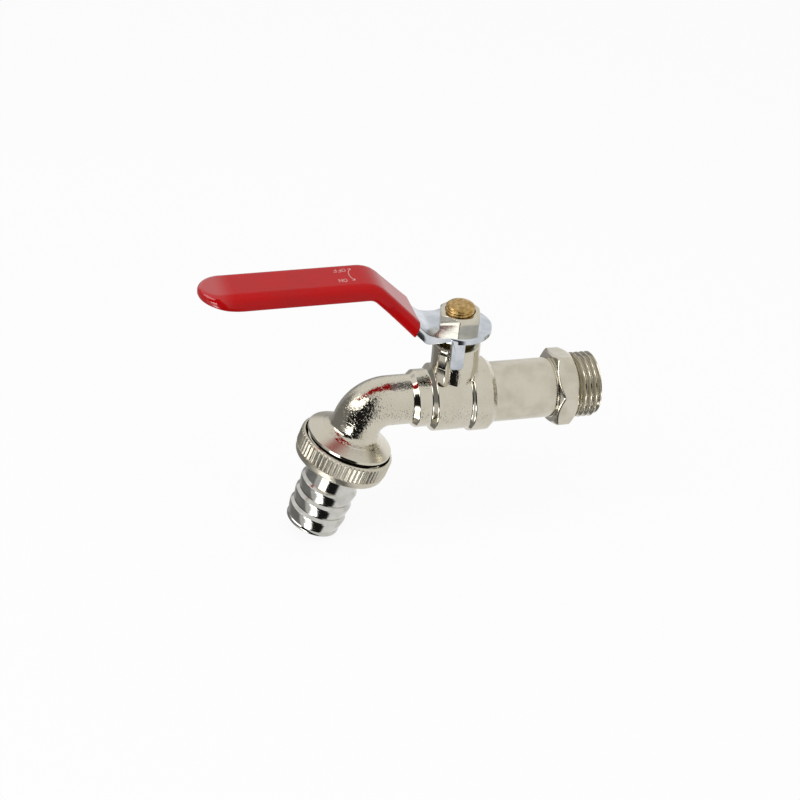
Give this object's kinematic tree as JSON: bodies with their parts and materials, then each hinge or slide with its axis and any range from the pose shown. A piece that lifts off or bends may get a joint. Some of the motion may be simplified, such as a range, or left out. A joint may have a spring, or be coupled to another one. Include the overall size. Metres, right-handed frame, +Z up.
{
  "type": "bib tap",
  "caption": "Lever ball bib tap with plated brass body, red vinyl-coated lever, male wall thread with hex shoulder, and a ribbed union nut holding a barbed hose tail.",
  "frame": {"origin": "middle of the inlet thread where it meets the hex shoulder, on the pipe axis", "axes": "+X out of the inlet into the wall, +Z up along the stem, so the spout and lever point to -X"},
  "size_m": [0.1274, 0.0304, 0.0925],
  "materials": {
    "nickel_plate": "satin",
    "bare_brass": "satin",
    "zinc_steel": "satin",
    "red_vinyl": "gloss",
    "bright_metal": "polished",
    "ball_chrome": "polished",
    "white_seal": "matte",
    "black_rubber": "matte"
  },
  "bodies": {
    "body": {"spout_body": "nickel_plate", "inlet_tail": "nickel_plate", "body_seal": "black_rubber", "spout_seat": "white_seal", "inlet_seat": "white_seal"},
    "lever": {"lever": "zinc_steel", "grip_sleeve": "red_vinyl", "lever_nut": "nickel_plate", "stem": "bare_brass", "ball": "ball_chrome", "thrust_washer": "white_seal", "lower_stem_ring": "black_rubber", "upper_stem_ring": "black_rubber"},
    "hose_tail": {"hose_tail": "bright_metal", "hose_washer": "black_rubber"},
    "union_nut": {"union_nut": "nickel_plate"}
  },
  "joints": [
    {"name": "lever_turn", "type": "hinge", "parent": "body", "child": "lever", "pos_m": [-0.0388, 0, 0], "axis": [0, 0, 1], "range_deg": [0, 90]},
    {"name": "tail_slide", "type": "slide", "parent": "body", "child": "hose_tail", "axis": [-0.3256, 0, -0.9455], "range_m": [0, 0.00363]},
    {"name": "union_turn", "type": "hinge", "parent": "hose_tail", "child": "union_nut", "pos_m": [-0.0664, 0, 0], "axis": [-0.3256, 0, -0.9455], "range_deg": [0, 720]}
  ],
  "couplings": [
    {"joint": "tail_slide", "follows": "union_turn", "m_per_rad": 0.00028875}
  ]
}
